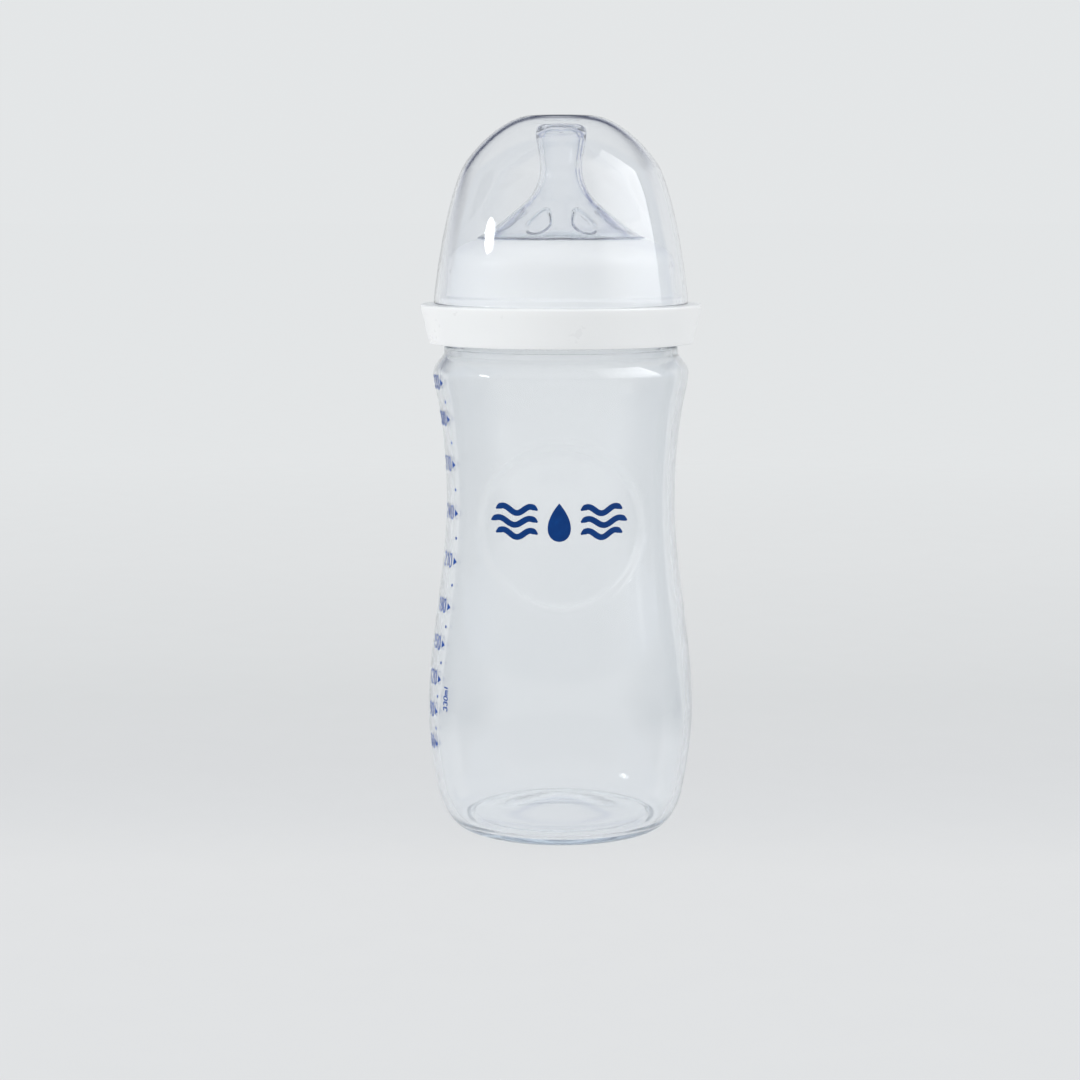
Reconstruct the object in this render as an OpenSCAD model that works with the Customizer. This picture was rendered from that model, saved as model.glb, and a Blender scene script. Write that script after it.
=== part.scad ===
// Wide-neck feeding bottle: blow-moulded body, screw ring, soft teat and clear travel cap.
// Origin at the centre of the ring that the bottle stands on, +Z up. Millimetres.

/* [Bottle body] */
// Radius of the ring that the bottle stands on
foot_r = 26.4; // [25.5:0.1:27.0]
// Largest radius, low on the body
bulge_r = 34.7; // [34.0:0.1:35.5]
// Height of the largest radius
bulge_z = 30.4; // [27:0.2:33]
// Radius of the waist
waist_r = 29.7; // [29.2:0.1:30.5]
// Height of the waist
waist_z = 86; // [83:0.5:89]
// Radius of the flank between the waist and the shoulder
chest_r = 31.7; // [31.2:0.1:32.2]
// Height of that point of the flank
chest_z = 111; // [109:0.5:113]
// Radius of the shoulder roll
shoulder_r = 33.0; // [32.6:0.1:33.4]
// Height of the shoulder roll
shoulder_z = 118.8; // [118:0.1:119.4]
// Radius of the plain land under the screw ring
land_r = 30.2; // [29.8:0.1:30.6]
// Height of the lower edge of that land
land_z = 123.6; // [123.2:0.1:124.2]
// Wall thickness of the body
wall = 1.8; // [1.5:0.1:2.0]
// Height of the push-up under the base
push_up = 5.2; // [3.5:0.1:6.5]

/* [Grip dish] */
// Radius of the round dish on the front
dish_r = 21.5; // [18:0.5:23]
// Height of the middle of the dish
dish_z = 81.5; // [80:0.5:84]
// Depth of the dish below the body's surface
dish_depth = 0.7; // [0.4:0.1:0.9]

/* [Neck and thread] */
// Height of the rim that the teat seals on
rim_z = 145; // [144.6:0.1:145]
// Radius of the neck under its thread
neck_r = 26; // [25.8:0.1:26.1]
// Radius of the mouth
bore_r = 23.9; // [23.4:0.1:24.1]
// How far the thread stands out from the neck
thread_h = 1.2; // [0.9:0.1:1.2]
// Rise of the thread in one turn
thread_lead = 6; // [5.5:0.1:6.5]
// Turns of thread on the neck
thread_turns = 1.4; // [1.0:0.1:1.5]

/* [Screw ring] */
// Radius of the ring's flange at its top edge
flange_r = 36.3; // [35.8:0.1:36.8]
// Radius of the skirt at its bottom edge
skirt_r = 33.95; // [33.8:0.05:34.3]
// Height of the flange's top face, where the cap stands
flange_z = 136.4; // [136.2:0.1:136.6]
// Depth of the skirt below the flange's top face
skirt_h = 10; // [9.4:0.1:10.2]
// Radius of the collar above the flange
collar_r = 29.1; // [29.0:0.05:29.4]
// Radius of the hole that the teat comes up through
hole_r = 20.9; // [20.8:0.05:21.0]
// Stiffening ribs between the sleeve and the skirt
rib_count = 12; // [6:1:18]

/* [Teat] */
// Radius of the rounded tip
tip_r = 6.5; // [6.0:0.1:6.8]
// Radius of the narrow part below the tip
stem_r = 5.3; // [5.1:0.1:5.8]
// Height of the tip's top
tip_z = 182; // [181.5:0.1:182.2]
// Wall thickness of the soft cone
teat_wall = 1.7; // [1.4:0.1:1.9]
// Number of soft petals moulded inside the cone
petal_count = 8; // [6:1:9]
// Radius of each petal
petal_r = 3.4; // [2.8:0.1:3.6]
// Radius of the feed hole in the tip
feed_r = 0.35; // [0.25:0.05:0.5]

/* [Dome cap] */
// Height of the cap's flat top
cap_z = 184.1; // [184.0:0.1:185]
// Radius of the cap at its rim
cap_r = 32.8; // [32.7:0.05:33.0]
// Wall thickness of the cap
cap_wall = 1.2; // [1.0:0.05:1.25]

/* [Hidden] */
turn_fn = 144;       // steps in every turned shape
rest_gap = 0.1;      // clearance where one piece rests on another
run_gap = 0.4;       // radial clearance between the two threads
neck_foot_z = 127.4; // where the neck leaves the land
thread_z = 133;      // middle of the neck thread's lower end
thread_drop = 2.1;   // how far the ring's thread sits below the neck's
sleeve_r = neck_r + thread_h + run_gap; // bore of the ring's threaded sleeve
skirt_z = flange_z - skirt_h;
inner_top_z = rim_z + 2.2;              // underside of the ring's crown
groove_r = hole_r - 0.4;                // floor of the teat's groove

// A cubic curve from a to d, pulled towards b and c.
function bez(a, b, c, d, t) =
    a*pow(1 - t, 3) + 3*b*t*pow(1 - t, 2) + 3*c*t*t*(1 - t) + d*pow(t, 3);
function curve(a, b, c, d, n) = [for (i = [1:n]) bez(a, b, c, d, i/n)];
// A flowing line between two heights, with the slope dr/dz given at each end.
function flow(z0, r0, m0, z1, r1, m1, n) = let(k = (z1 - z0)/3)
    curve([r0, z0], [r0 + m0*k, z0 + k], [r1 - m1*k, z1 - k], [r1, z1], n);
// The same line moved w to its left, square to itself.
function beside(p, w) = [for (i = [0:len(p) - 1])
    let(d = p[min(i + 1, len(p) - 1)] - p[max(i - 1, 0)], l = norm(d))
    [p[i][0] - w*d[1]/l, p[i][1] + w*d[0]/l]];
function back(p) = [for (i = [len(p) - 1:-1:0]) p[i]];

// Underside of the base, bell-shaped, as a height over radius.
function bell(r) = 1.6 + (push_up - 1.6)*(1 + cos(180*min(r, 20)/20))/2;

// Outside of the body from the foot ring up to the land under the ring.
flank = concat(
    [[foot_r, 0]],
    curve([foot_r, 0], [foot_r + 1.7, 0], [30.8, 3.4], [32.1, 8.5], 6),
    flow(8.5, 32.1, 0.19, bulge_z, bulge_r, 0, 6),
    flow(bulge_z, bulge_r, 0, waist_z, waist_r, 0, 14),
    flow(waist_z, waist_r, 0, chest_z, chest_r, 0.17, 6),
    flow(chest_z, chest_r, 0.17, shoulder_z, shoulder_r, 0, 4),
    flow(shoulder_z, shoulder_r, 0, land_z, land_r, -0.9, 5));

body_outside = concat(
    [for (i = [0:8]) [i*2.5, bell(i*2.5)]],
    [[22.4, 1.35], [23.9, 0.7], [foot_r - 1.7, 0]],
    flank,
    [[land_r, 125.2]],
    curve([land_r, 125.2], [29.9, 126.2], [27.6, 126.5], [neck_r, neck_foot_z], 5),
    [[neck_r, rim_z - 0.5], [neck_r - 0.5, rim_z]]);
body_inside = concat(
    [for (i = [0:8]) [i*2.5, bell(i*2.5) + wall]],
    [[foot_r - 2.6, wall + 0.55]],
    beside(flank, wall),
    curve([land_r - wall, land_z + 0.2], [land_r - wall - 0.6, land_z + 1.6],
          [bore_r, 125.2], [bore_r, neck_foot_z + 1.4], 5),
    [[bore_r, rim_z - 0.5], [bore_r + 0.5, rim_z]]);

// A thread of four-sided section along a right-hand helix. r_in and r_out are the radii of
// its two faces, half_in and half_out their half-heights. Over fade degrees at each end the
// free face sinks to the radius buried, inside the wall. inward is for a thread in a bore.
module helix(r_in, r_out, half_in, half_out, z0, turns, buried, inward = false, fade = 24) {
    step = 10;
    n = round(turns*360/step);
    function ramp(a) = min(1, min(a, n*step - a)/fade);
    function ring(i) = let(a = i*step, k = ramp(a), z = z0 + thread_lead*a/360,
        ri = inward ? buried + (r_in - buried)*k : r_in,
        ro = inward ? r_out : buried + (r_out - buried)*k)
        [for (c = [[ri, -half_in], [ro, -half_out], [ro, half_out], [ri, half_in]])
            [c[0]*cos(a), c[0]*sin(a), z + c[1]]];
    pts = [for (i = [0:n]) each ring(i)];
    polyhedron(pts, concat(
        [[3, 2, 1, 0]],
        [for (i = [0:n - 1], j = [0:3]) let(a = 4*i + j, b = 4*i + (j + 1) % 4)
            [a, b, b + 4, a + 4]],
        [[4*n, 4*n + 1, 4*n + 2, 4*n + 3]]), convexity = 6);
}

module bottle_body() {
    // the dish's skin, from dish_depth inside the surface to well outside it
    flank_up = [for (p = flank) if (p[1] > 50 && p[1] < 114) p];
    color([0.86, 0.90, 0.94, 0.6]) difference() {
        union() {
            rotate_extrude($fn = turn_fn) polygon(concat(body_outside, back(body_inside)));
            helix(neck_r - 0.7, neck_r + thread_h, 1.5, 0.7, thread_z, thread_turns,
                  neck_r - 0.3);
        }
        intersection() {
            rotate_extrude($fn = turn_fn)
                polygon(concat(beside(flank_up, dish_depth), back(beside(flank_up, -3))));
            translate([0, 0, dish_z]) rotate([90, 0, 0]) cylinder(r = dish_r, h = 45, $fn = 96);
        }
    }
}

module screw_ring() {
    crown = concat(
        [[collar_r, rim_z + 0.6]],
        curve([collar_r, rim_z + 0.6], [collar_r, rim_z + 4.4], [26.6, rim_z + 6.3],
              [22.6, rim_z + 7.6], 7));
    section = concat(
        [[skirt_r - 1.5, skirt_z], [skirt_r - 0.3, skirt_z], [skirt_r, skirt_z + 0.3],
         [flange_r, flange_z - 0.7], [flange_r - 0.2, flange_z - 0.2],
         [flange_r - 0.7, flange_z],
         [31.25, flange_z], [31.25, flange_z + 1.6], [30.9, flange_z + 1.95],
         [collar_r + 0.6, flange_z + 1.95], [collar_r + 0.2, flange_z + 2.3]],
        crown,
        [[hole_r + 0.5, rim_z + 7.8], [hole_r, rim_z + 7.3], [hole_r, rim_z + 5.9],
         [hole_r + 0.3, rim_z + 5.6], [22.6, rim_z + 5.4], [24.9, inner_top_z],
         [sleeve_r - 0.7, inner_top_z], [sleeve_r, inner_top_z - 0.7],
         [sleeve_r, 128.5], [sleeve_r + 0.3, 128.2],
         [collar_r - 0.3, 128.2], [collar_r, 128.5],
         [collar_r, flange_z - 2.2], [collar_r + 0.4, flange_z - 1.8],
         [flange_r - 2.1, flange_z - 1.8], [flange_r - 1.8, flange_z - 2.2]]);
    color([0.96, 0.96, 0.96]) union() {
        rotate_extrude($fn = turn_fn) polygon(section);
        helix(neck_r + run_gap, sleeve_r + 0.6, 0.7, 1.3, thread_z - thread_drop, 1.2,
              sleeve_r + 0.3, inward = true);
        for (i = [0:rib_count - 1]) rotate([0, 0, (i + 0.5)*360/rib_count])
            translate([collar_r - 0.4, -0.5, flange_z - 6]) cube([4.6, 1, 4.6]);
    }
}

module teat() {
    // outside of the cone and stem, from the groove's upper bead to the tip
    cone = concat(
        [[hole_r + 0.4, 153.8]],
        curve([hole_r + 0.4, 153.8], [17.4, 155.2], [13.2, 159.0], [9.2, 162.3], 6),
        curve([9.2, 162.3], [7.3, 163.9], [stem_r, 167.2], [stem_r, 171.2], 6));
    stem = flow(171.2, stem_r, 0, tip_z - 2.0, tip_r, 0.02, 4);
    outside = concat(
        [[22.4, rim_z + rest_gap], [26.6, rim_z + rest_gap], [26.9, rim_z + 0.4],
         [26.9, rim_z + 1.7], [26.6, rim_z + 2.0], [24.6, rim_z + 2.0],
         [22.2, rim_z + 5.2], [groove_r, rim_z + 5.4], [groove_r, rim_z + 8.0],
         [hole_r + 0.6, rim_z + 8.0], [hole_r + 0.8, rim_z + 8.3]],
        cone, stem,
        curve([tip_r, tip_z - 2.0], [tip_r, tip_z - 0.7], [tip_r - 0.7, tip_z],
              [tip_r - 2.2, tip_z], 4),
        [[0, tip_z]]);
    inside = concat(
        [[20.2, rim_z + 3.0], [groove_r - 1.7, rim_z + 5.2], [groove_r - 1.7, rim_z + 6.6]],
        [for (i = [1:len(cone) - 1]) beside(cone, teat_wall)[i]],
        [[tip_r - 1.9, tip_z - 3.6], [tip_r - 2.3, tip_z - 2.0], [tip_r - 3.4, tip_z - 1.2],
         [0, tip_z - 1.2]]);
    skin = beside(cone, teat_wall - 0.3);
    pad = beside(cone, teat_wall + 0.8);
    color([0.90, 0.93, 0.96, 0.6]) difference() {
        union() {
            rotate_extrude($fn = turn_fn) polygon(concat(outside, back(inside)));
            intersection() {
                rotate_extrude($fn = turn_fn)
                    polygon(concat([for (i = [1:8]) skin[i]], [for (i = [8:-1:1]) pad[i]]));
                for (i = [0:petal_count - 1]) rotate([0, 0, (i + 0.5)*360/petal_count + 90])
                    translate([14.2, 0, 145]) cylinder(r = petal_r, h = 20, $fn = 48);
            }
        }
        // feed hole through the tip
        translate([0, 0, tip_z - 4]) cylinder(r = feed_r, h = 8, $fn = 24);
        // two small air vents through the flange's cone, at the sides
        for (s = [0, 180]) rotate([0, 0, s])
            translate([22.9, 0, rim_z - 1]) cylinder(r = 0.6, h = 8, $fn = 24);
    }
}

module dome_cap() {
    rim = flange_z + rest_gap;
    shell = concat(
        [[cap_r, rim]],
        curve([cap_r, rim], [31.6, 147.8], [29.2, 162.0], [25.7, 170.2], 10),
        curve([25.7, 170.2], [23.7, 174.8], [15.7, cap_z - 1.1], [9.2, cap_z], 9),
        [[0, cap_z]]);
    hollow = concat([[cap_r - cap_wall, rim]],
        [for (i = [1:len(shell) - 2]) beside(shell, cap_wall)[i]], [[0, cap_z - cap_wall]]);
    color([0.93, 0.95, 0.96, 0.35])
        rotate_extrude($fn = turn_fn) polygon(concat(shell, back(hollow)));
}

bottle_body();
screw_ring();
teat();
dome_cap();
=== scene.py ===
import bpy
import bmesh
import math
import numpy as np
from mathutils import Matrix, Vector


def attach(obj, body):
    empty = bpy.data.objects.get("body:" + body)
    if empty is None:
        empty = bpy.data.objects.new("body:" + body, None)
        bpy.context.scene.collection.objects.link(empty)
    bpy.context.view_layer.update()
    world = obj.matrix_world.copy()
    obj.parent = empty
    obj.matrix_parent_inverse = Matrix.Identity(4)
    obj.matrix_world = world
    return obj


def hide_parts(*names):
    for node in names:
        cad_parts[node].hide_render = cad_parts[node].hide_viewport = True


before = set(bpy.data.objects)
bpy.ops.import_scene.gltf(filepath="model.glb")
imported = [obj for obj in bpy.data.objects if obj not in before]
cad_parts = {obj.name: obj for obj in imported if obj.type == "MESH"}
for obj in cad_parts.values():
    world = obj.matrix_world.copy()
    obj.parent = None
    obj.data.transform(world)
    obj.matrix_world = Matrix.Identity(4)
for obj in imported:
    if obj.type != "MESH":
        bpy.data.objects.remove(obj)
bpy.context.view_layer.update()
scene = bpy.context.scene
scene.view_settings.view_transform = "Standard"
scene.view_settings.look = "None"
scene.view_settings.exposure = 0.0
scene.view_settings.gamma = 1.0

# ---------------------------------------------------------------- curves, in millimetres


def bez(a, b, c, d, n):
    t = (np.arange(1, n + 1) / n)[:, None]
    a, b, c, d = (np.array(p, float) for p in (a, b, c, d))
    return a * (1 - t) ** 3 + 3 * b * t * (1 - t) ** 2 + 3 * c * t * t * (1 - t) + d * t**3


def flow(z0, r0, m0, z1, r1, m1, n):
    k = (z1 - z0) / 3
    return bez((r0, z0), (r0 + m0 * k, z0 + k), (r1 - m1 * k, z1 - k), (r1, z1), n)


def beside(p, w):
    p = np.asarray(p, float)
    d = np.empty_like(p)
    d[1:-1] = p[2:] - p[:-2]
    d[0], d[-1] = p[1] - p[0], p[-1] - p[-2]
    d /= np.linalg.norm(d, axis=1)[:, None]
    return p + w * np.stack([-d[:, 1], d[:, 0]], 1)


def rounded(corners, steps=5):
    """An outline through (r, z, radius) corners, each turned with a fillet of that radius."""
    out, n = [], len(corners)
    for i, (r, z, rad) in enumerate(corners):
        p = np.array((r, z), float)
        a = np.array(corners[i - 1][:2], float)
        b = np.array(corners[(i + 1) % n][:2], float)
        if rad <= 0:
            out.append(p)
            continue
        u, v = a - p, b - p
        lu, lv = np.linalg.norm(u), np.linalg.norm(v)
        u, v = u / lu, v / lv
        cut = min(rad / max(math.tan(math.acos(max(-0.9999, min(0.9999, u @ v))) / 2), 1e-3), 0.46 * lu, 0.46 * lv)
        s, e = p + u * cut, p + v * cut
        for t in np.linspace(0, 1, steps):
            out.append(s * (1 - t) ** 2 + 2 * p * t * (1 - t) + e * t * t)
    return np.array(out)


def plain(curve):
    return [(float(r), float(z), 0) for r, z in curve]


def dense(path, step, closed=False):
    """The same path with no stretch longer than step(r, z)."""
    path = np.asarray(path, float)
    ends = np.vstack([path, path[:1]]) if closed else path
    out = [ends[0]]
    for a, b in zip(ends[:-1], ends[1:]):
        mid = (a + b) / 2
        k = max(1, math.ceil(np.linalg.norm(b - a) / step(mid[0], mid[1]) - 1e-6))
        out += [a + (b - a) * (j + 1) / k for j in range(k)]
    out = np.array(out[:-1] if closed else out)
    keep = np.ones(len(out), bool)
    keep[1:] = np.linalg.norm(np.diff(out, axis=0), axis=1) > 1e-5
    return out[keep]


def smooth(x, lo, hi):
    t = np.clip((x - lo) / (hi - lo), 0, 1)
    return t * t * (3 - 2 * t)


# ---------------------------------------------------------------- meshes


def new_object(name, verts_mm, faces, body, replaced=None, sharp=38):
    me = bpy.data.meshes.new(name)
    me.from_pydata((np.asarray(verts_mm, float) * 0.001).tolist(), [], faces)
    me.validate(verbose=False)
    me.polygons.foreach_set("use_smooth", np.ones(len(me.polygons), bool))
    if sharp:
        me.set_sharp_from_angle(angle=math.radians(sharp))
    me.update()
    ob = bpy.data.objects.new(name, me)
    scene.collection.objects.link(ob)
    if body is None:
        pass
    else:
        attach(ob, body)
    if replaced:
        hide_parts(replaced)
    return ob


def volume_mm(v, faces):
    tri = []
    for f in faces:
        for k in range(1, len(f) - 1):
            tri.append((f[0], f[k], f[k + 1]))
    t = np.array(tri)
    a, b, c = v[t[:, 0]], v[t[:, 1]], v[t[:, 2]]
    return float(np.einsum("ij,ij->i", a, np.cross(b, c)).sum() / 6)


def turned(name, path, columns, body, replaced=None, shape=None, tags=None, poles=False):
    """A turned solid as a grid of quads. path goes once round the section, or from the axis
    to the axis where poles is true; shape moves the grid's points."""
    path = np.asarray(path, float)
    phi = np.asarray(columns, float)
    m, n = len(path), len(phi)
    R = np.repeat(path[:, :1], n, 1)
    Z = np.repeat(path[:, 1:], n, 1)
    P = np.repeat(phi[None, :], m, 0)
    if shape:
        R, Z = shape(R, Z, P, tags)
    xyz = np.stack([R * np.cos(P), R * np.sin(P), Z], 2)
    if poles:
        verts = np.vstack([[[0, 0, path[0, 1]]], xyz[1:-1].reshape(-1, 3), [[0, 0, path[-1, 1]]]])
        last = len(verts) - 1

        def at(i, j):
            return 0 if i == 0 else last if i == m - 1 else 1 + (i - 1) * n + j % n
    else:
        verts = xyz.reshape(-1, 3)

        def at(i, j):
            return (i % m) * n + j % n

    faces = []
    for i in range(m - 1 if poles else m):
        for j in range(n):
            f = [at(i, j), at(i + 1, j), at(i + 1, j + 1), at(i, j + 1)]
            g = [f[0]]
            for k in f[1:]:
                if k not in g:
                    g.append(k)
            faces.append(g)
    if volume_mm(verts, faces) < 0:
        faces = [f[::-1] for f in faces]
    ob = new_object(name, verts, faces, body, replaced)
    if tags is not None:
        # how matt the inner face is: fully on the wall, hardly at all on the floor of the bottle
        matt = tags * (0.12 + 0.88 * smooth(path[:, 1], 14, 48))
        rows = np.repeat(matt, n) if not poles else np.r_[matt[0], np.repeat(matt[1:-1], n), matt[-1]]
        inside = ob.data.attributes.new("inside", "FLOAT", "POINT")
        inside.data.foreach_set("value", rows.astype(np.float32))
    return ob


def screw_thread(P, Z, z0, lead, turns, half, flank, height, fade=24.0):
    """How far a right-hand thread stands out at each grid point."""
    deg = np.degrees(P) % 360.0
    best = np.zeros_like(Z)
    for k in range(int(math.ceil(turns)) + 1):
        a = deg + 360.0 * k
        ramp = smooth(np.minimum(a, turns * 360.0 - a), 0.15 * fade, fade)
        ramp[(a < 0) | (a > turns * 360.0)] = 0
        off = np.abs(Z - (z0 + lead * a / 360.0))
        best = np.maximum(best, ramp * height * smooth(half - off, 0, flank))
    return best


# ---------------------------------------------------------------- the bottle's body

WALL = 1.8
FLANK = np.vstack([
    [[26.4, 0.0]],
    bez((26.4, 0), (28.1, 0), (30.8, 3.4), (32.1, 8.5), 14),
    flow(8.5, 32.1, 0.19, 30.4, 34.7, 0, 20),
    flow(30.4, 34.7, 0, 86, 29.7, 0, 60),
    flow(86, 29.7, 0, 111, 31.7, 0.17, 30),
    flow(111, 31.7, 0.17, 118.8, 33.0, 0, 14),
    flow(118.8, 33.0, 0, 123.6, 30.2, -0.9, 16),
])


def bell(r):
    return 1.6 + 3.6 * (1 + np.cos(np.pi * np.minimum(r, 20) / 20)) / 2


def body_radius(z):
    return np.interp(z, FLANK[:, 1], FLANK[:, 0])


DISH_R, DISH_Z, DISH_DEPTH = 21.5, 81.5, 0.7


def dish(x, z, soft):
    rho = np.hypot(x, z - DISH_Z)
    return DISH_DEPTH * smooth(DISH_R - rho, 0, soft)


def make_body():
    rr = np.arange(0, 20.01, 1.25)
    under = np.stack([rr, bell(rr)], 1)
    shoulder = bez((30.2, 125.2), (29.9, 126.2), (27.6, 126.5), (26.0, 127.4), 10)
    outer = rounded(plain(under) + [(22.4, 1.35, 1.0), (23.9, 0.75, 0.6), (24.75, 0.0, 0.35)] + plain(FLANK)
                    + [(30.2, 123.9, 0), (30.2, 125.2, 0.4)] + plain(shoulder) + [(26.0, 128.0, 0)], 5)
    neck = rounded([(26.0, 128.0, 0), (26.0, 145.0, 0.55), (23.9, 145.0, 0.55), (23.9, 128.8, 0)], 6)
    flank_in = beside(FLANK, WALL)
    inner = np.vstack([
        np.stack([rr, bell(rr) + WALL], 1),
        [[22.4, 3.1], [24.2, 2.65], [26.2, 2.4]],
        flank_in[flank_in[:, 1] > 2.7][::2],
        [[28.6, 123.4]],
        bez((28.6, 124.6), (28.6, 125.0), (28.5, 125.5), (28.0, 125.6), 6),
        bez((28.0, 125.6), (26.6, 125.8), (23.9, 125.9), (23.9, 128.8), 10),
    ])[::-1]

    def step(r, z):
        if z > 127.4:
            return 0.45 if r > 25 else 1.8
        if z > 104:
            return 0.95
        if z > 57:
            return 0.55
        return 1.3

    a = dense(outer, step)
    b = dense(neck, step)[1:]
    c = dense(inner, lambda r, z: 1.8)[1:]
    path = np.vstack([a, b, c])
    tags = np.zeros(len(path), int)
    tags[len(a) + np.argmax(b[:, 0] < 25):] = 1
    # columns: close together over the dish, wider round the back
    cols, t = [], 0.0
    while t < 359.999:
        cols.append(t)
        t += 1.0 if abs(t - 270) < 48 else 2.4
    cols = np.radians(np.array(cols) * 360.0 / t)

    def shape(R, Z, P, tags):
        x = R * np.cos(P)
        outside = tags[:, None] == 0
        lies = (R > 24) & (Z > 40) & (Z < 118)
        front = np.sin(P) < 0
        R = R - np.where(lies & outside & front, dish(x, Z, 1.9), 0)
        R = R - np.where(lies & ~outside & front, dish(x, Z, 2.6), 0)
        thread = screw_thread(P, Z, 133.0, 6.0, 1.4, 1.2, 0.5, 1.2)
        R = R + np.where(outside & (Z > 127.5) & (Z < 144.4), thread, 0)
        return R, Z

    return turned("bottle_body_shell", path, cols, "bottle", "bottle_body", shape, tags, poles=True)


# ---------------------------------------------------------------- the screw ring


def make_ring():
    crown = bez((29.1, 145.6), (29.1, 149.4), (26.6, 151.3), (22.6, 152.6), 22)
    section = rounded(
        [(32.45, 126.4, 0.25), (33.95, 126.4, 0.4), (36.3, 136.4, 0.55), (31.25, 136.4, 0.35),
         (31.25, 138.1, 0.4), (29.35, 138.5, 0.5), (29.12, 145.0, 0)] + plain(crown)
        + [(21.6, 152.85, 0.4), (20.9, 152.5, 0.35), (20.9, 150.75, 0.3), (22.55, 150.4, 0.5),
           (24.9, 147.2, 0.5), (27.6, 147.2, 0.8), (27.6, 128.2, 0.3), (29.1, 128.2, 0.35),
           (29.1, 134.6, 0.5), (34.4, 134.6, 0.5)], 6)

    def step(r, z):
        if 27 < r < 28.2 and 129 < z < 141:
            return 0.38
        return 1.0

    def skirt(z):
        return 32.45 + (z - 126.4) * 1.95 / 8.2

    path = dense(section, step, closed=True)
    count = 12
    cols = list(np.arange(0, 360, 1.5))
    for i in range(count):
        c = (i + 0.5) * 360 / count
        cols = [a for a in cols if abs(a - c) > 2.2]
        cols += [c - 1.75, c - 1.2, c - 0.95, c, c + 0.95, c + 1.2, c + 1.75]
    cols = np.array(sorted(cols))

    def shape(R, Z, P, tags):
        thread = screw_thread(P, Z, 130.9, 6.0, 1.2, 1.1, 0.4, 1.2)
        bore = (R > 27.3) & (R < 28.0) & (Z > 128.9) & (Z < 141)
        R = R - np.where(bore, thread, 0)
        # the ribs: the groove under the flange is shallower there
        deg = np.degrees(P)
        near = np.abs((deg - 180 / count) % (360 / count))
        near = np.minimum(near, 360 / count - near)
        rib = 1 - smooth(near, 0.96, 1.19)
        z0, z1 = 128.8, 134.6
        groove = (R > 29.05) & (R < skirt(Z) + 0.06) & (Z > z0) & (Z < 134.7)
        low = z0 + (Z - z0) * (1 - rib * 4.2 / (z1 - z0))
        part = (R - 29.1) / (skirt(Z) - 29.1)
        R = np.where(groove, 29.1 + part * (skirt(low) - 29.1), R)
        return R, np.where(groove, low, Z)

    return turned("screw_ring_shell", path, np.radians(cols), "ring", "screw_ring", shape)


# ---------------------------------------------------------------- the teat

CONE = np.vstack([
    [[21.45, 153.42]],
    bez((21.45, 153.42), (17.4, 155.0), (13.2, 159.0), (9.2, 162.3), 40),
    bez((9.2, 162.3), (7.3, 163.9), (5.3, 167.2), (5.3, 171.2), 30),
])


def make_teat():
    stem = flow(171.2, 5.3, 0, 180.0, 6.5, 0.02, 16)
    tip = bez((6.5, 180.0), (6.5, 181.3), (5.8, 182.0), (4.3, 182.0), 10)
    section = rounded(
        [(22.3, 145.1, 0.3), (26.9, 145.1, 0.4), (26.9, 147.0, 0.4), (24.55, 147.0, 0.6),
         (22.2, 150.2, 0.4), (20.5, 150.4, 0.3), (20.5, 153.0, 0.25), (21.7, 153.02, 0.2)]
        + plain(CONE) + plain(stem) + plain(tip)
        + [(0.9, 182.0, 0.2), (0.35, 181.9, 0.1), (0.35, 180.8, 0.1)]
        + plain(bez((3.3, 180.8), (4.3, 180.7), (4.8, 180.0), (5.0, 178.4), 6))
        + plain(beside(CONE, 1.3)[3:][::-1])
        + [(18.8, 151.6, 0.5), (18.8, 150.2, 0.6), (20.2, 148.0, 0.6)], 5)
    path = dense(section, lambda r, z: 0.45 if z > 152 else 0.8, closed=True)
    cols = np.radians(np.arange(0, 360, 1.5))

    def shape(R, Z, P, tags):
        # soft petals stand out of the cone's inner face
        inner = (R < np.interp(Z, CONE[:, 1], CONE[:, 0]) - 0.85) & (Z > 151.5) & (Z < 166)
        turn = 2 * np.pi / 8
        a = (P + np.pi / 2) % turn - turn / 2
        u, v = R * np.cos(a) - 14.0, R * np.sin(a)
        # a petal is pointed towards the stem and round at its foot
        wide = 3.2 * (1 - 0.32 * smooth(-u, -1.0, 4.6))
        rho = np.hypot(u / 4.3, v / wide)
        pad = 0.6 * smooth(1.0 - rho, 0, 0.34)
        rib = 0.25 * np.exp(-(((rho - 0.86) / 0.09) ** 2))
        h = np.where(inner, pad + rib, 0)
        return R - 0.62 * h, Z - 0.78 * h

    return turned("teat_shell", path, cols, "teat", "teat", shape)


# ---------------------------------------------------------------- the dome cap


def make_cap():
    shell = np.vstack([
        bez((32.8, 137.2), (31.65, 147.8), (29.2, 162.0), (25.7, 170.2), 60),
        bez((25.7, 170.2), (23.7, 174.8), (15.7, 183.0), (9.2, 184.1), 50),
    ])
    hollow = beside(shell, 1.2)
    rim = rounded([(31.55, 137.6, 0), (31.58, 136.5, 0.3), (32.82, 136.5, 0.4), (32.8, 137.2, 0)], 5)
    path = np.vstack([
        [[0, 182.9]],
        [[4.5, 182.9]],
        hollow[::-1],
        rim[1:-1],
        shell,
        [[4.5, 184.1]],
        [[0, 184.1]],
    ])
    path = dense(path, lambda r, z: 1.2)
    cols = np.radians(np.arange(0, 360, 1.5))
    return turned("dome_cap_shell", path, cols, "cap", "dome_cap", None, None, poles=True)


body = make_body()
ring = make_ring()
teat = make_teat()
cap = make_cap()

# ---------------------------------------------------------------- the print on the body
INK = 0.035  # how far the ink stands out of the plastic


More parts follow.
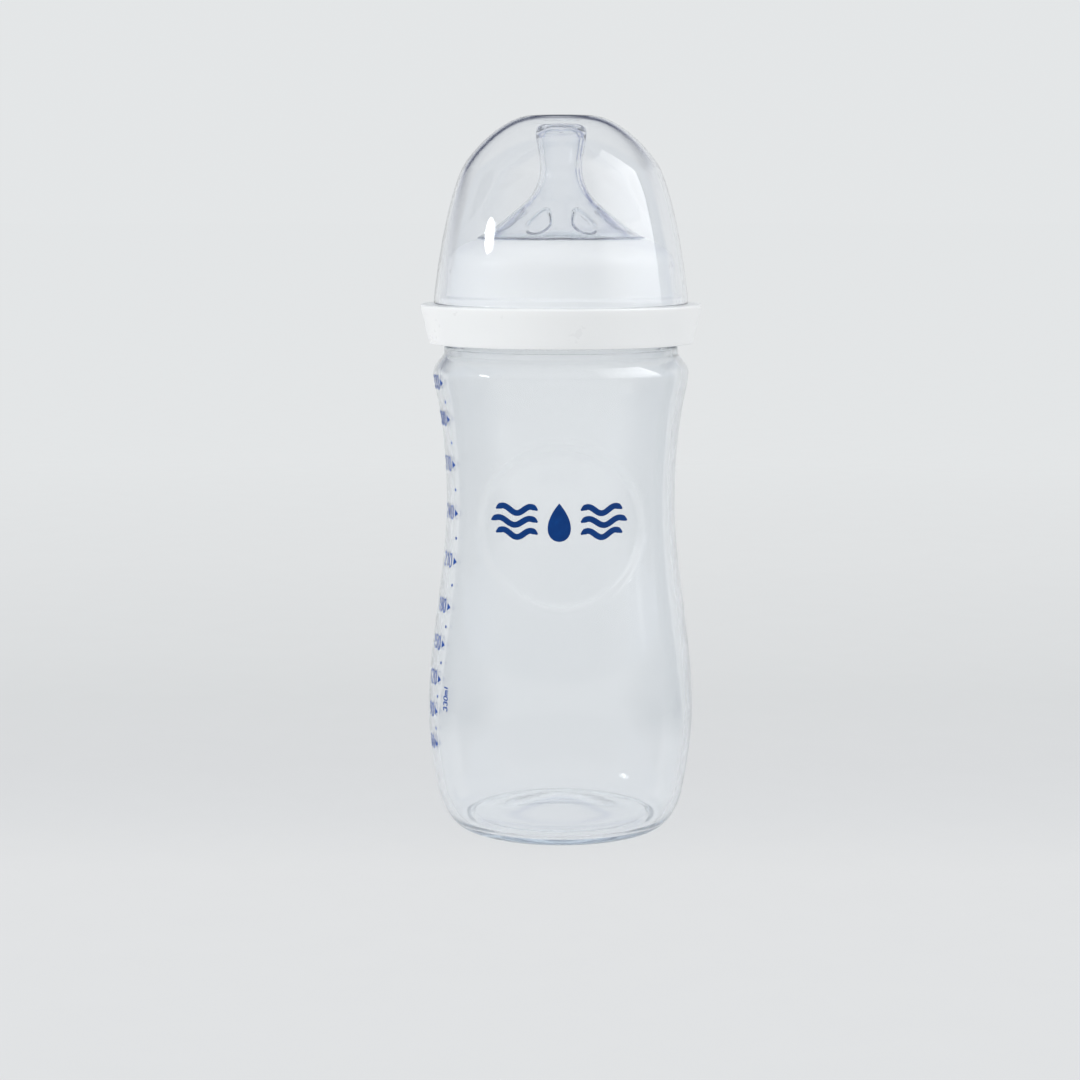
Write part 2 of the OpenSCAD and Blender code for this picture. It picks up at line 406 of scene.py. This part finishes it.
def stroke(points, width, closed=False, step=0.5):
    """A band of even width along a line, as one group of quads."""
    p = np.asarray(points, float)
    if closed:
        p = np.vstack([p, p[:1]])
    q = [p[0]]
    for a, b in zip(p[:-1], p[1:]):
        k = max(1, math.ceil(np.linalg.norm(b - a) / step))
        q += [a + (b - a) * (j + 1) / k for j in range(k)]
    q = np.array(q)
    if closed:
        q = q[:-1]
    n = len(q)
    d = np.roll(q, -1, 0) - np.roll(q, 1, 0)
    if not closed:
        d[0], d[-1] = q[1] - q[0], q[-1] - q[-2]
    d /= np.linalg.norm(d, axis=1)[:, None]
    nrm = np.stack([-d[:, 1], d[:, 0]], 1)
    w = np.broadcast_to(np.asarray(width, float), (n,))[:, None] / 2
    pts = np.vstack([q + nrm * w, q - nrm * w])
    m = n if closed else n - 1
    polys = [[i, n + i, n + (i + 1) % n, (i + 1) % n] for i in range(m)]
    return pts, polys


def filled(outline, middle=None, rings=4):
    """A closed outline filled with rings of quads that shrink to its middle."""
    o = np.asarray(outline, float)
    c = o.mean(0) if middle is None else np.array(middle, float)
    n = len(o)
    pts = [c + (o - c) * (1 - k / rings) for k in range(rings)]
    pts = np.vstack(pts + [c[None]])
    polys = []
    for k in range(rings - 1):
        for i in range(n):
            polys.append([k * n + i, k * n + (i + 1) % n, (k + 1) * n + (i + 1) % n, (k + 1) * n + i])
    for i in range(n):
        polys.append([(rings - 1) * n + i, (rings - 1) * n + (i + 1) % n, rings * n])
    return pts, polys


def arc(cx, cy, rx, ry, a0, a1, n=14):
    t = np.radians(np.linspace(a0, a1, n))
    return np.stack([cx + rx * np.cos(t), cy + ry * np.sin(t)], 1)


# plain narrow numerals drawn as strokes in a box 1 wide and 2 high
def numeral(ch):
    A = arc
    return {
        "0": [(A(0.5, 0.5, 0.5, 0.5, 180, 360, 9), A(0.5, 1.5, 0.5, 0.5, 0, 180, 9))],
        "1": [([(0.12, 1.55), (0.55, 2.0), (0.55, 0.0)],)],
        "2": [(A(0.5, 1.5, 0.5, 0.5, 170, -40, 12), [(0.02, 0.0), (1.0, 0.0)])],
        "3": [(A(0.48, 1.52, 0.46, 0.48, 160, -80, 12),), (A(0.48, 0.52, 0.52, 0.52, 82, -160, 13),)],
        "4": [([(0.75, 0.0), (0.75, 2.0), (0.0, 0.55), (1.0, 0.55)],)],
        "5": [([(0.95, 2.0), (0.15, 2.0), (0.08, 1.12)], A(0.47, 0.62, 0.53, 0.62, 125, -155, 13))],
        "6": [(A(0.5, 0.55, 0.5, 0.55, 0, 360, 17)[:-1], "loop"), ([(0.02, 0.75)], A(1.0, 0.9, 0.98, 1.12, 172, 95, 7))],
        "7": [([(0.0, 2.0), (1.0, 2.0), (0.35, 0.0)],)],
        "8": [(A(0.5, 1.52, 0.44, 0.46, 0, 360, 17)[:-1], "loop"), (A(0.5, 0.53, 0.5, 0.53, 0, 360, 17)[:-1], "loop")],
        "9": [(A(0.5, 1.45, 0.5, 0.55, 0, 360, 17)[:-1], "loop"), ([(0.98, 1.25)], A(0.0, 1.1, 0.98, 1.12, -8, -85, 7))],
        "m": [([(0.0, 0.0), (0.0, 1.25)],), (A(0.3, 0.95, 0.3, 0.3, 180, 0, 7), [(0.6, 0.0)]), (A(0.9, 0.95, 0.3, 0.3, 180, 0, 7), [(1.2, 0.0)])],
        "l": [([(0.25, 0.0), (0.25, 2.0)],)],
    }[ch]


def wide(ch):
    return {"m": 1.2, "l": 0.5, "1": 0.75}.get(ch, 1.0)


def lettering(s, height, weight, gap=0.42, squeeze=0.95):
    """Strokes for a run of numerals, with its left end at 0 and its middle height at 0."""
    k = height / 2.0
    x, groups = 0.0, []
    for ch in s:
        for part in numeral(ch):
            loop = isinstance(part[-1], str)
            pts = np.vstack([np.asarray(q, float) for q in part if not isinstance(q, str)])
            if ch == "0":
                loop = True
            pts = pts * np.array([k * squeeze, k]) + np.array([x, -height / 2])
            groups.append(stroke(pts, weight, closed=loop, step=0.45))
        x += (wide(ch) * squeeze + gap) * k
    return groups, x - gap * k


def side_surface(azimuth_deg, z0):
    """(u, v) to the body's side: u millimetres along the surface to the reader's right from the
    azimuth, which is counted from the front towards -X."""
    def at(u, v):
        z = z0 + v
        r = float(body_radius(z))
        a = math.radians(azimuth_deg) - u / r
        slope = (float(body_radius(z + 0.3)) - float(body_radius(z - 0.3))) / 0.6
        out = np.array([-math.sin(a), -math.cos(a), -slope])
        out /= np.linalg.norm(out)
        return np.array([-r * math.sin(a), -r * math.cos(a), z]), out
    return at


def front_surface(z0):
    """(u, v) seen square on from the front, on the dish."""
    def radius(x, z):
        return float(body_radius(z)) - float(dish(x, z, 1.9))

    def at(u, v):
        z = z0 + v
        r = radius(u, z)
        a = math.asin(max(-1.0, min(1.0, u / r)))
        slope = (float(body_radius(z + 0.3)) - float(body_radius(z - 0.3))) / 0.6
        out = np.array([math.sin(a), -math.cos(a), -slope])
        out /= np.linalg.norm(out)
        return np.array([u, -r * math.cos(a), z]), out
    return at


def shifted(groups, du, dv, turn=0.0):
    c, s = math.cos(math.radians(turn)), math.sin(math.radians(turn))
    return [(np.asarray(p) @ np.array([[c, s], [-s, c]]) + np.array([du, dv]), f) for p, f in groups]


SCALE_Z = [23.0, 31.7, 40.3, 49.4, 59.2, 71.0, 83.3, 95.7, 107.3, 116.6]
NUMBER_RIGHT = [73.5, 72.0, 70.0, 69.3, 68.0, 66.8, 68.6, 70.3, 71.4, 72.0]


def make_scale():
    groups_at = []
    for i, z in enumerate(SCALE_Z):
        text = str(60 + 30 * i)
        g, length = lettering(text, 3.4, 0.40, gap=0.62, squeeze=0.85)
        groups_at.append((z, NUMBER_RIGHT[i], shifted(g, -length, 0.15)))
        # a small wedge that points at the level line
        wedge = filled([(1.35, 1.15), (1.35, 0.2), (1.35, -0.75), (2.3, -0.3), (3.25, 0.2), (2.3, 0.7)], rings=3)
        groups_at.append((z, NUMBER_RIGHT[i], [wedge]))
        if i + 1 < len(SCALE_Z):
            mid = (z + SCALE_Z[i + 1]) / 2
            near = (NUMBER_RIGHT[i] + NUMBER_RIGHT[i + 1]) / 2
            groups_at.append((mid, near, [filled(arc(2.3, 0, 0.42, 0.42, 0, 345, 12), rings=2)]))
    pieces = []
    for z, az, groups in groups_at:
        pieces.append((groups, side_surface(az, z)))
    # a short upright note of the unit, beside the low marks
    g, length = lettering("330ml", 1.9, 0.34, gap=0.5)
    pieces.append((shifted(shifted(g, -length / 2, 0), 0, 0, 90), side_surface(59.0, 36.2)))
    return print_object("scale_print", pieces)


def print_object(name, pieces):
    verts, faces = [], []
    for groups, surface in pieces:
        for pts, polys in groups:
            base, k = len(verts), len(pts)
            low, high = [], []
            for u, v in pts:
                p, nrm = surface(u, v)
                low.append(p - 0.03 * nrm)
                high.append(p + INK * nrm)
            verts += high + low
            edges = set()
            local = []
            for f in polys:
                local.append([base + i for i in f])
                local.append([base + k + i for i in f[::-1]])
                for a, b in zip(f, f[1:] + f[:1]):
                    edges.add((a, b))
            for a, b in edges:
                if (b, a) not in edges:
                    local.append([base + b, base + a, base + k + a, base + k + b])
            vv = np.array(verts[base:])
            if volume_mm(vv, [[i - base for i in f] for f in local]) < 0:
                local = [f[::-1] for f in local]
            faces += local
    return new_object(name, np.array(verts), faces, "bottle", sharp=50)


def make_emblem():
    """A plain drop between two sets of three waves, in the middle of the front dish."""
    groups = []
    t = np.linspace(0, 2 * np.pi, 41)[:-1]
    drop = np.stack([3.7 * np.sin(t) * np.sin(t / 2) ** 0.9, 4.8 * np.cos(t)], 1)
    groups.append(filled(drop, middle=(0, -1.6), rings=6))
    for side in (-1, 1):
        for y, span in ((3.0, 10.4), (0.0, 11.6), (-3.0, 10.4)):
            x = np.linspace(0, span, 34)
            w = 0.85 * np.sin(x / span * 2 * np.pi * 1.5)
            taper = 1.5 * np.clip(np.minimum(x, span - x) / 1.2 + 0.25, 0.25, 1)
            pts = np.stack([side * (5.4 + x), y + w], 1)
            if side < 0:
                pts, taper = pts[::-1], taper[::-1]
            groups.append(stroke(pts, taper, step=5.0))
    return print_object("front_print", [(shifted(groups, -0.6, 0), front_surface(83.2))])


scale = make_scale()
emblem = make_emblem()

# ---------------------------------------------------------------- materials


class Tree:
    def __init__(self, name, world=False):
        self.m = bpy.data.worlds.new(name) if world else bpy.data.materials.new(name)
        self.m.use_nodes = True
        self.t = self.m.node_tree
        self.t.nodes.clear()
        self.out = self.add("ShaderNodeOutputWorld" if world else "ShaderNodeOutputMaterial")

    def add(self, kind, **props):
        n = self.t.nodes.new(kind)
        for k, v in props.items():
            setattr(n, k, v)
        return n

    def link(self, a, b):
        self.t.links.new(a, b)

    def coords(self):
        return self.add("ShaderNodeTexCoord").outputs["Object"]

    def stretched(self, scale):
        mp = self.add("ShaderNodeMapping")
        mp.inputs["Scale"].default_value = scale
        self.link(self.coords(), mp.inputs["Vector"])
        return mp.outputs["Vector"]

    def noise(self, scale, detail=3.0, rough=0.5, vector=None, distortion=0.0):
        n = self.add("ShaderNodeTexNoise")
        n.inputs["Scale"].default_value = scale
        n.inputs["Detail"].default_value = detail
        n.inputs["Roughness"].default_value = rough
        n.inputs["Distortion"].default_value = distortion
        self.link(vector if vector is not None else self.coords(), n.inputs["Vector"])
        return n.outputs["Fac"]

    def ramp(self, fac, stops):
        r = self.add("ShaderNodeValToRGB")
        e = r.color_ramp.elements
        while len(e) < len(stops):
            e.new(0.5)
        for k, (pos, col) in zip(e, stops):
            k.position = pos
            k.color = (*col, 1) if len(col) == 3 else col
        self.link(fac, r.inputs["Fac"])
        return r.outputs["Color"]

    def span(self, fac, lo, hi, a=0.0, b=1.0):
        r = self.add("ShaderNodeMapRange")
        r.inputs["From Min"].default_value = a
        r.inputs["From Max"].default_value = b
        r.inputs["To Min"].default_value = lo
        r.inputs["To Max"].default_value = hi
        self.link(fac, r.inputs["Value"])
        return r.outputs["Result"]

    def math(self, op, a, b):
        n = self.add("ShaderNodeMath", operation=op)
        for k, v in enumerate((a, b)):
            if isinstance(v, (int, float)):
                n.inputs[k].default_value = v
            else:
                self.link(v, n.inputs[k])
        return n.outputs[0]

    def blend(self, fac, a, b, kind="MIX"):
        n = self.add("ShaderNodeMix", data_type="RGBA", blend_type=kind)
        for k, v in ((0, fac), (6, a), (7, b)):
            if isinstance(v, float):
                n.inputs[k].default_value = v
            elif isinstance(v, tuple):
                n.inputs[k].default_value = (*v, 1)
            else:
                self.link(v, n.inputs[k])
        return n.outputs[2]

    def level(self, vector):
        """The vector's own direction over the ground, and its length there."""
        flat = self.add("ShaderNodeVectorMath", operation="MULTIPLY")
        flat.inputs[1].default_value = (1, 1, 0)
        self.link(vector, flat.inputs[0])
        unit = self.add("ShaderNodeVectorMath", operation="NORMALIZE")
        self.link(flat.outputs[0], unit.inputs[0])
        size = self.add("ShaderNodeVectorMath", operation="LENGTH")
        self.link(flat.outputs[0], size.inputs[0])
        xyz = self.add("ShaderNodeSeparateXYZ")
        self.link(unit.outputs[0], xyz.inputs[0])
        return xyz.outputs, size.outputs["Value"]

    def bump(self, height, strength, distance, base=None):
        b = self.add("ShaderNodeBump")
        b.inputs["Strength"].default_value = strength
        b.inputs["Distance"].default_value = distance
        self.link(height, b.inputs["Height"])
        if base is not None:
            self.link(base, b.inputs["Normal"])
        return b.outputs["Normal"]


def clear_plastic(name, tints, ior, haze, rough, waves, wave_scale, grain, grain_scale, lets, matt_inside, deep):
    """Clear or translucent moulded plastic: true refraction through the wall, a little haze,
    mould waves and a fine grain, and a tint that deepens with the thickness. Lamps and soft
    bounces pass through it as through a thin wall."""
    t = Tree(name)
    p = t.add("ShaderNodeBsdfPrincipled")
    t.link(t.ramp(t.noise(26.0, 2.0), [(0.3, tints[0]), (0.7, tints[1])]), p.inputs["Base Color"])
    p.inputs["IOR"].default_value = ior
    p.inputs["Transmission Weight"].default_value = 1.0 - haze
    dull = t.span(t.noise(90.0, 4.0, 0.6), rough[0], rough[1], 0.3, 0.7)
    if matt_inside:
        there = t.add("ShaderNodeAttribute", attribute_name="inside").outputs["Fac"]
        dull = t.math("ADD", dull, t.math("MULTIPLY", there, matt_inside))
    t.link(dull, p.inputs["Roughness"])
    big = t.bump(t.noise(wave_scale, 1.5, 0.4, t.stretched((1, 1, 0.6))), waves, 0.002)
    t.link(t.bump(t.noise(grain_scale, 2.0), grain, 0.0002, big), p.inputs["Normal"])
    thin = t.add("ShaderNodeBsdfTransparent")
    thin.inputs["Color"].default_value = (*lets, 1)
    path = t.add("ShaderNodeLightPath")
    soft, hard = t.add("ShaderNodeMixShader"), t.add("ShaderNodeMixShader")
    t.link(path.outputs["Is Diffuse Ray"], soft.inputs[0])
    t.link(p.outputs[0], soft.inputs[1])
    t.link(thin.outputs[0], soft.inputs[2])
    t.link(path.outputs["Is Shadow Ray"], hard.inputs[0])
    t.link(soft.outputs[0], hard.inputs[1])
    t.link(thin.outputs[0], hard.inputs[2])
    t.link(hard.outputs[0], t.out.inputs["Surface"])
    tint = t.add("ShaderNodeVolumeAbsorption")
    tint.inputs["Color"].default_value = (*deep[1], 1)
    tint.inputs["Density"].default_value = deep[0]
    t.link(tint.outputs[0], t.out.inputs["Volume"])
    return t.m


body_mat = clear_plastic("PP_translucent", ((0.985, 0.991, 0.996), (0.992, 0.996, 0.999)), 1.49, 0.07,
                         (0.022, 0.055), 0.06, 34.0, 0.012, 700.0, (0.96, 0.968, 0.974), 0.10,
                         (8.0, (0.30, 0.62, 0.90)))
cap_mat = clear_plastic("PP_clear_polished", ((0.990, 0.993, 0.996), (0.995, 0.997, 0.999)), 1.49, 0.01,
                        (0.008, 0.02), 0.04, 30.0, 0.02, 900.0, (0.975, 0.978, 0.98), 0.0,
                        (9.0, (0.10, 0.34, 0.80)))
teat_mat = clear_plastic("silicone_clear", ((0.982, 0.988, 0.995), (0.990, 0.994, 0.998)), 1.42, 0.03,
                         (0.05, 0.10), 0.05, 70.0, 0.08, 1300.0, (0.96, 0.967, 0.975), 0.0,
                         (5.0, (0.05, 0.22, 0.85)))


def white_plastic():
    t = Tree("PP_white_satin")
    p = t.add("ShaderNodeBsdfPrincipled")
    t.link(t.ramp(t.noise(22.0, 3.0), [(0.3, (0.872, 0.878, 0.874)), (0.7, (0.896, 0.898, 0.892))]), p.inputs["Base Color"])
    p.inputs["IOR"].default_value = 1.49
    p.inputs["Subsurface Weight"].default_value = 0.25
    p.inputs["Subsurface Radius"].default_value = (1.0, 1.0, 0.95)
    p.inputs["Subsurface Scale"].default_value = 0.0015
    t.link(t.span(t.noise(140.0, 4.0, 0.65), 0.26, 0.40, 0.3, 0.7), p.inputs["Roughness"])
    big = t.bump(t.noise(30.0, 2.0), 0.05, 0.002)
    t.link(t.bump(t.noise(1500.0, 2.0), 0.10, 0.0002, big), p.inputs["Normal"])
    t.link(p.outputs[0], t.out.inputs["Surface"])
    return t.m


def ink(name, blues):
    t = Tree(name)
    p = t.add("ShaderNodeBsdfPrincipled")
    t.link(t.ramp(t.noise(300.0, 4.0, 0.6), list(zip((0.25, 0.6, 0.85), blues))), p.inputs["Base Color"])
    p.inputs["IOR"].default_value = 1.45
    p.inputs["Specular IOR Level"].default_value = 0.2
    t.link(t.span(t.noise(500.0, 3.0), 0.42, 0.58, 0.3, 0.7), p.inputs["Roughness"])
    t.link(t.bump(t.noise(2500.0, 2.0), 0.15, 0.00005), p.inputs["Normal"])
    t.link(p.outputs[0], t.out.inputs["Surface"])
    return t.m


ring_mat = white_plastic()
ink_mat = ink("print_ink_blue", ((0.0, 0.030, 0.155), (0.0, 0.039, 0.190), (0.0, 0.052, 0.235)))
scale_mat = ink("print_ink_scale", ((0.0, 0.050, 0.290), (0.0, 0.066, 0.340), (0.0, 0.085, 0.400)))
for ob, mat in ((body, body_mat), (ring, ring_mat), (teat, teat_mat), (cap, cap_mat), (scale, scale_mat), (emblem, ink_mat)):
    ob.data.materials.clear()
    ob.data.materials.append(mat)

# ---------------------------------------------------------------- floor, light and camera
PALE = (0.775, 0.793, 0.802)  # the paper sweep far from the bottle
DIM = (0.13, 0.16, 0.20)  # the studio beside the sweep, which only reflections show
SWEEP = -0.52  # where the sweep ends, as the cosine of the angle from straight behind, turned round


def beside_sweep(t, north):
    """1 in the directions where no paper hangs, at the bottle's two sides, and 0 behind it."""
    r = t.ramp(t.span(north, 0, 1, 1.0, -1.0), [(0.5 + SWEEP / 2 - 0.006, (0, 0, 0)), (0.5 + SWEEP / 2 + 0.006, (1, 1, 1)),
                                                (0.62, (1, 1, 1)), (0.80, (0.1, 0.1, 0.1))])
    return r


def make_floor():
    n, radii = 96, [0.02, 0.05, 0.09, 0.14, 0.2, 0.28, 0.38, 0.5, 0.7, 1.0, 1.6, 3.0, 8.0, 30.0]
    verts, faces = [(0.0, 0.0, -0.05)], []
    for r in radii:
        for j in range(n):
            a = 2 * math.pi * j / n
            verts.append((1000 * r * math.cos(a), 1000 * r * math.sin(a), -0.05))
    for j in range(n):
        faces.append([0, 1 + j, 1 + (j + 1) % n])
    for k in range(len(radii) - 1):
        for j in range(n):
            a, b = 1 + k * n + j, 1 + k * n + (j + 1) % n
            faces.append([a, a + n, b + n, b])
    ob = new_object("floor", verts, faces, None, sharp=0)
    t = Tree("floor_paper")
    at = t.coords()
    sep = t.add("ShaderNodeSeparateXYZ")
    t.link(at, sep.inputs[0])
    # painted shade: the paper's glow is darker in a soft band from the foot to about 0.25 m behind the bottle, and
    # lighter in front and far behind
    painted_shade_band = t.ramp(t.span(sep.outputs["Y"], 0, 1, -0.2, 1.0), [
        (0.0, (0.752, 0.765, 0.775)), (0.125, (0.76, 0.77, 0.778)), (0.17, (0.72, 0.733, 0.745)),
        (0.22, (0.70, 0.712, 0.724)), (0.30, (0.697, 0.712, 0.72)), (0.37, (0.722, 0.737, 0.745)),
        (0.56, (0.757, 0.772, 0.78)), (0.92, PALE)])
    grain = t.ramp(t.noise(60.0, 6.0, 0.6), [(0.3, (0.99, 0.99, 0.99)), (0.7, (1, 1, 1))])
    glow = t.add("ShaderNodeEmission")
    way, dist = t.level(at)
    t.link(t.blend(1.0, painted_shade_band, grain, "MULTIPLY"), glow.inputs["Color"])
    # painted shade: the paper's glow is a little weaker inside the bottle's foot
    t.link(t.span(dist, 0.95, 1.0, 0.0225, 0.0258), glow.inputs["Strength"])
    lit = t.add("ShaderNodeBsdfDiffuse")
    lit.inputs["Color"].default_value = (0.80, 0.81, 0.815, 1)
    mix = t.add("ShaderNodeMixShader")
    t.link(t.span(dist, FLOOR_GLOW, 1.0, 0.15, 0.9), mix.inputs[0])
    t.link(lit.outputs[0], mix.inputs[1])
    t.link(glow.outputs[0], mix.inputs[2])
    # what a reflection sees of the floor beside the sweep
    dim = t.add("ShaderNodeEmission")
    dim.inputs["Color"].default_value = (*DIM, 1)
    once = t.math("MINIMUM", t.add("ShaderNodeLightPath").outputs["Glossy Depth"], 1.0)
    far = t.math("MULTIPLY", t.span(dist, 0, 1, 0.10, 0.20), once)
    last = t.add("ShaderNodeMixShader")
    t.link(t.math("MULTIPLY", beside_sweep(t, way["Y"]), far), last.inputs[0])
    t.link(mix.outputs[0], last.inputs[1])
    t.link(dim.outputs[0], last.inputs[2])
    t.link(last.outputs[0], t.out.inputs["Surface"])
    ob.data.materials.append(t.m)
    return ob


FLOOR_GLOW = 0.86
floor = make_floor()


def make_world():
    t = Tree("studio", world=True)
    scene.world = t.m
    way = t.add("ShaderNodeTexCoord").outputs["Generated"]
    xyz = t.add("ShaderNodeSeparateXYZ")
    t.link(way, xyz.inputs[0])
    north = t.level(way)[0]["Y"]
    # the dark ceiling comes lower towards the left
    slant = t.math("MULTIPLY", t.math("MINIMUM", xyz.outputs["X"], 0.0), -0.36)
    behind = t.ramp(t.math("ADD", xyz.outputs["Z"], slant), [
        (0.0, PALE), (0.20, PALE), (0.30, (0.66, 0.68, 0.71)), (0.38, (0.34, 0.36, 0.43)), (0.43, (0.04, 0.05, 0.10)),
        (0.52, (0.05, 0.06, 0.11)), (0.60, (0.38, 0.40, 0.45)), (0.70, (0.56, 0.58, 0.61)), (0.85, (0.64, 0.66, 0.68))])
    front = t.ramp(xyz.outputs["Z"], [(0.0, (0.30, 0.32, 0.34)), (0.13, (0.30, 0.32, 0.34)), (0.30, (0.62, 0.64, 0.66)),
                                      (0.70, (0.62, 0.64, 0.66)), (0.95, (0.50, 0.52, 0.55))])
    path = t.add("ShaderNodeLightPath")
    # what is seen through two or more walls: a lighter room with a narrow dark rail
    inner = t.ramp(xyz.outputs["Z"], [(0.0, PALE), (0.20, PALE), (0.40, (0.70, 0.72, 0.75)), (0.455, (0.20, 0.25, 0.50)),
                                      (0.48, (0.06, 0.09, 0.30)), (0.51, (0.50, 0.53, 0.62)), (0.60, (0.73, 0.75, 0.78)),
                                      (0.90, (0.76, 0.78, 0.80))])
    level = t.level(way)[0]
    rail = t.ramp(t.span(level["X"], 0, 1, -1.0, 1.0), [(0.0, (0, 0, 0)), (0.685, (0, 0, 0)), (0.705, (1, 1, 1)), (0.765, (1, 1, 1)), (0.79, (0, 0, 0))])
    inner = t.blend(t.math("MULTIPLY", rail, 0.92), inner, (0.04, 0.07, 0.27))
    through = t.span(path.outputs["Transmission Depth"], 0, 1, 2.0, 3.0)
    room = t.blend(t.span(north, 0, 1, 0.35, -0.25), t.blend(through, behind, inner), front)
    once = t.math("MINIMUM", path.outputs["Glossy Depth"], 1.0)
    seen = t.blend(t.math("MULTIPLY", beside_sweep(t, north), once), room, (0.29, 0.36, 0.46))
    bg = t.add("ShaderNodeBackground")
    t.link(t.blend(path.outputs["Is Camera Ray"], seen, PALE), bg.inputs["Color"])
    t.link(bg.outputs[0], t.out.inputs["Surface"])


make_world()


def softbox(name, azimuth, elevation, distance, width, height, power, target=(0, 0, 0.11), oval=False, mirrors=True):
    """A soft lamp at this azimuth from the bottle, counted from the camera's side towards +X,
    and this elevation. mirrors is false where reflections don't show it."""
    d = bpy.data.lights.new(name, "AREA")
    d.shape = "ELLIPSE" if oval else "RECTANGLE"
    d.size, d.size_y, d.energy = width, height, power
    o = bpy.data.objects.new(name, d)
    a, e = math.radians(azimuth), math.radians(elevation)
    way = Vector((math.sin(a) * math.cos(e), -math.cos(a) * math.cos(e), math.sin(e)))
    o.location = Vector(target) + way * distance
    o.rotation_euler = way.to_track_quat("Z", "Y").to_euler()
    o.visible_camera = False
    if not mirrors:
        o.visible_glossy = o.visible_transmission = False
    scene.collection.objects.link(o)
    return o


softbox("key_left", -75, 19, 1.2, 0.22, 0.13, 1.3, oval=True)
softbox("fill_left", -70, 15, 1.3, 0.6, 0.6, 5.4, mirrors=False)
softbox("fill_front", 5, 35, 1.5, 0.9, 0.9, 2.4, mirrors=False)
softbox("fill_right", 66, 35, 1.3, 0.9, 0.9, 6.0, mirrors=False)
softbox("glint_right", 67, 4.9, 1.4, 0.075, 0.04, 0.05, target=(0, 0, 0.055))


def make_window():
    """A tall bright window at the right, brightest along its far edge, for reflections only."""
    n_u, n_v, dist = 24, 16, 1.4
    verts, faces = [], []
    for j in range(n_v + 1):
        for i in range(n_u + 1):
            az = math.radians(34 + (101 - 34) * i / n_u)
            el = math.radians(-4 + (63 + 4) * j / n_v)
            verts.append((1000 * dist * math.sin(az) * math.cos(el), -1000 * dist * math.cos(az) * math.cos(el),
                          110 + 1000 * dist * math.sin(el)))
    for j in range(n_v):
        for i in range(n_u):
            k = j * (n_u + 1) + i
            faces.append([k, k + 1, k + n_u + 2, k + n_u + 1])
    ob = new_object("window_right", verts, faces, None, sharp=0)
    t = Tree("window_light")
    xyz = t.add("ShaderNodeSeparateXYZ")
    t.link(t.coords(), xyz.inputs[0])
    north = t.level(t.coords())[0]["Y"]
    glow = t.add("ShaderNodeEmission")
    across = t.ramp(t.span(north, 0, 1, -0.83, 0.19), [(0.0, (0, 0, 0)), (0.12, (0.3, 0.3, 0.3)), (0.55, (0.8, 0.8, 0.8)), (0.95, (1, 1, 1))])
    up = t.ramp(t.span(xyz.outputs["Z"], 0, 1, 0.0, 1.36), [(0.0, (0.02, 0.02, 0.02)), (0.12, (0.12, 0.12, 0.12)), (0.42, (0.9, 0.9, 0.9)), (0.7, (1, 1, 1)), (1.0, (0.4, 0.4, 0.4))])
    t.link(t.blend(1.0, across, up, "MULTIPLY"), glow.inputs["Color"])
    glow.inputs["Strength"].default_value = 5.2
    clear = t.add("ShaderNodeBsdfTransparent")
    add = t.add("ShaderNodeAddShader")
    t.link(glow.outputs[0], add.inputs[0])
    t.link(clear.outputs[0], add.inputs[1])
    t.link(add.outputs[0], t.out.inputs["Surface"])
    ob.data.materials.append(t.m)
    ob.visible_camera = ob.visible_diffuse = ob.visible_shadow = ob.visible_transmission = False
    return ob


window = make_window()

cam_data = bpy.data.cameras.new("camera")
cam = bpy.data.objects.new("camera", cam_data)
scene.collection.objects.link(cam)
cam_data.sensor_width = 36.0
cam_data.lens = 36.0 * 2390.0 / 1080.0
cam_data.clip_start = 0.02
cam.location = (-0.0054, -0.619, 0.1602)
cam.rotation_euler = (math.radians(90 - 7.85), 0, 0)
scene.camera = cam

scene.cycles.max_bounces = 24
scene.cycles.transmission_bounces = 24
scene.cycles.transparent_max_bounces = 32
scene.cycles.glossy_bounces = 8
scene.cycles.diffuse_bounces = 4
scene.cycles.caustics_reflective = False
scene.cycles.caustics_refractive = False
scene.cycles.sample_clamp_indirect = 6.0
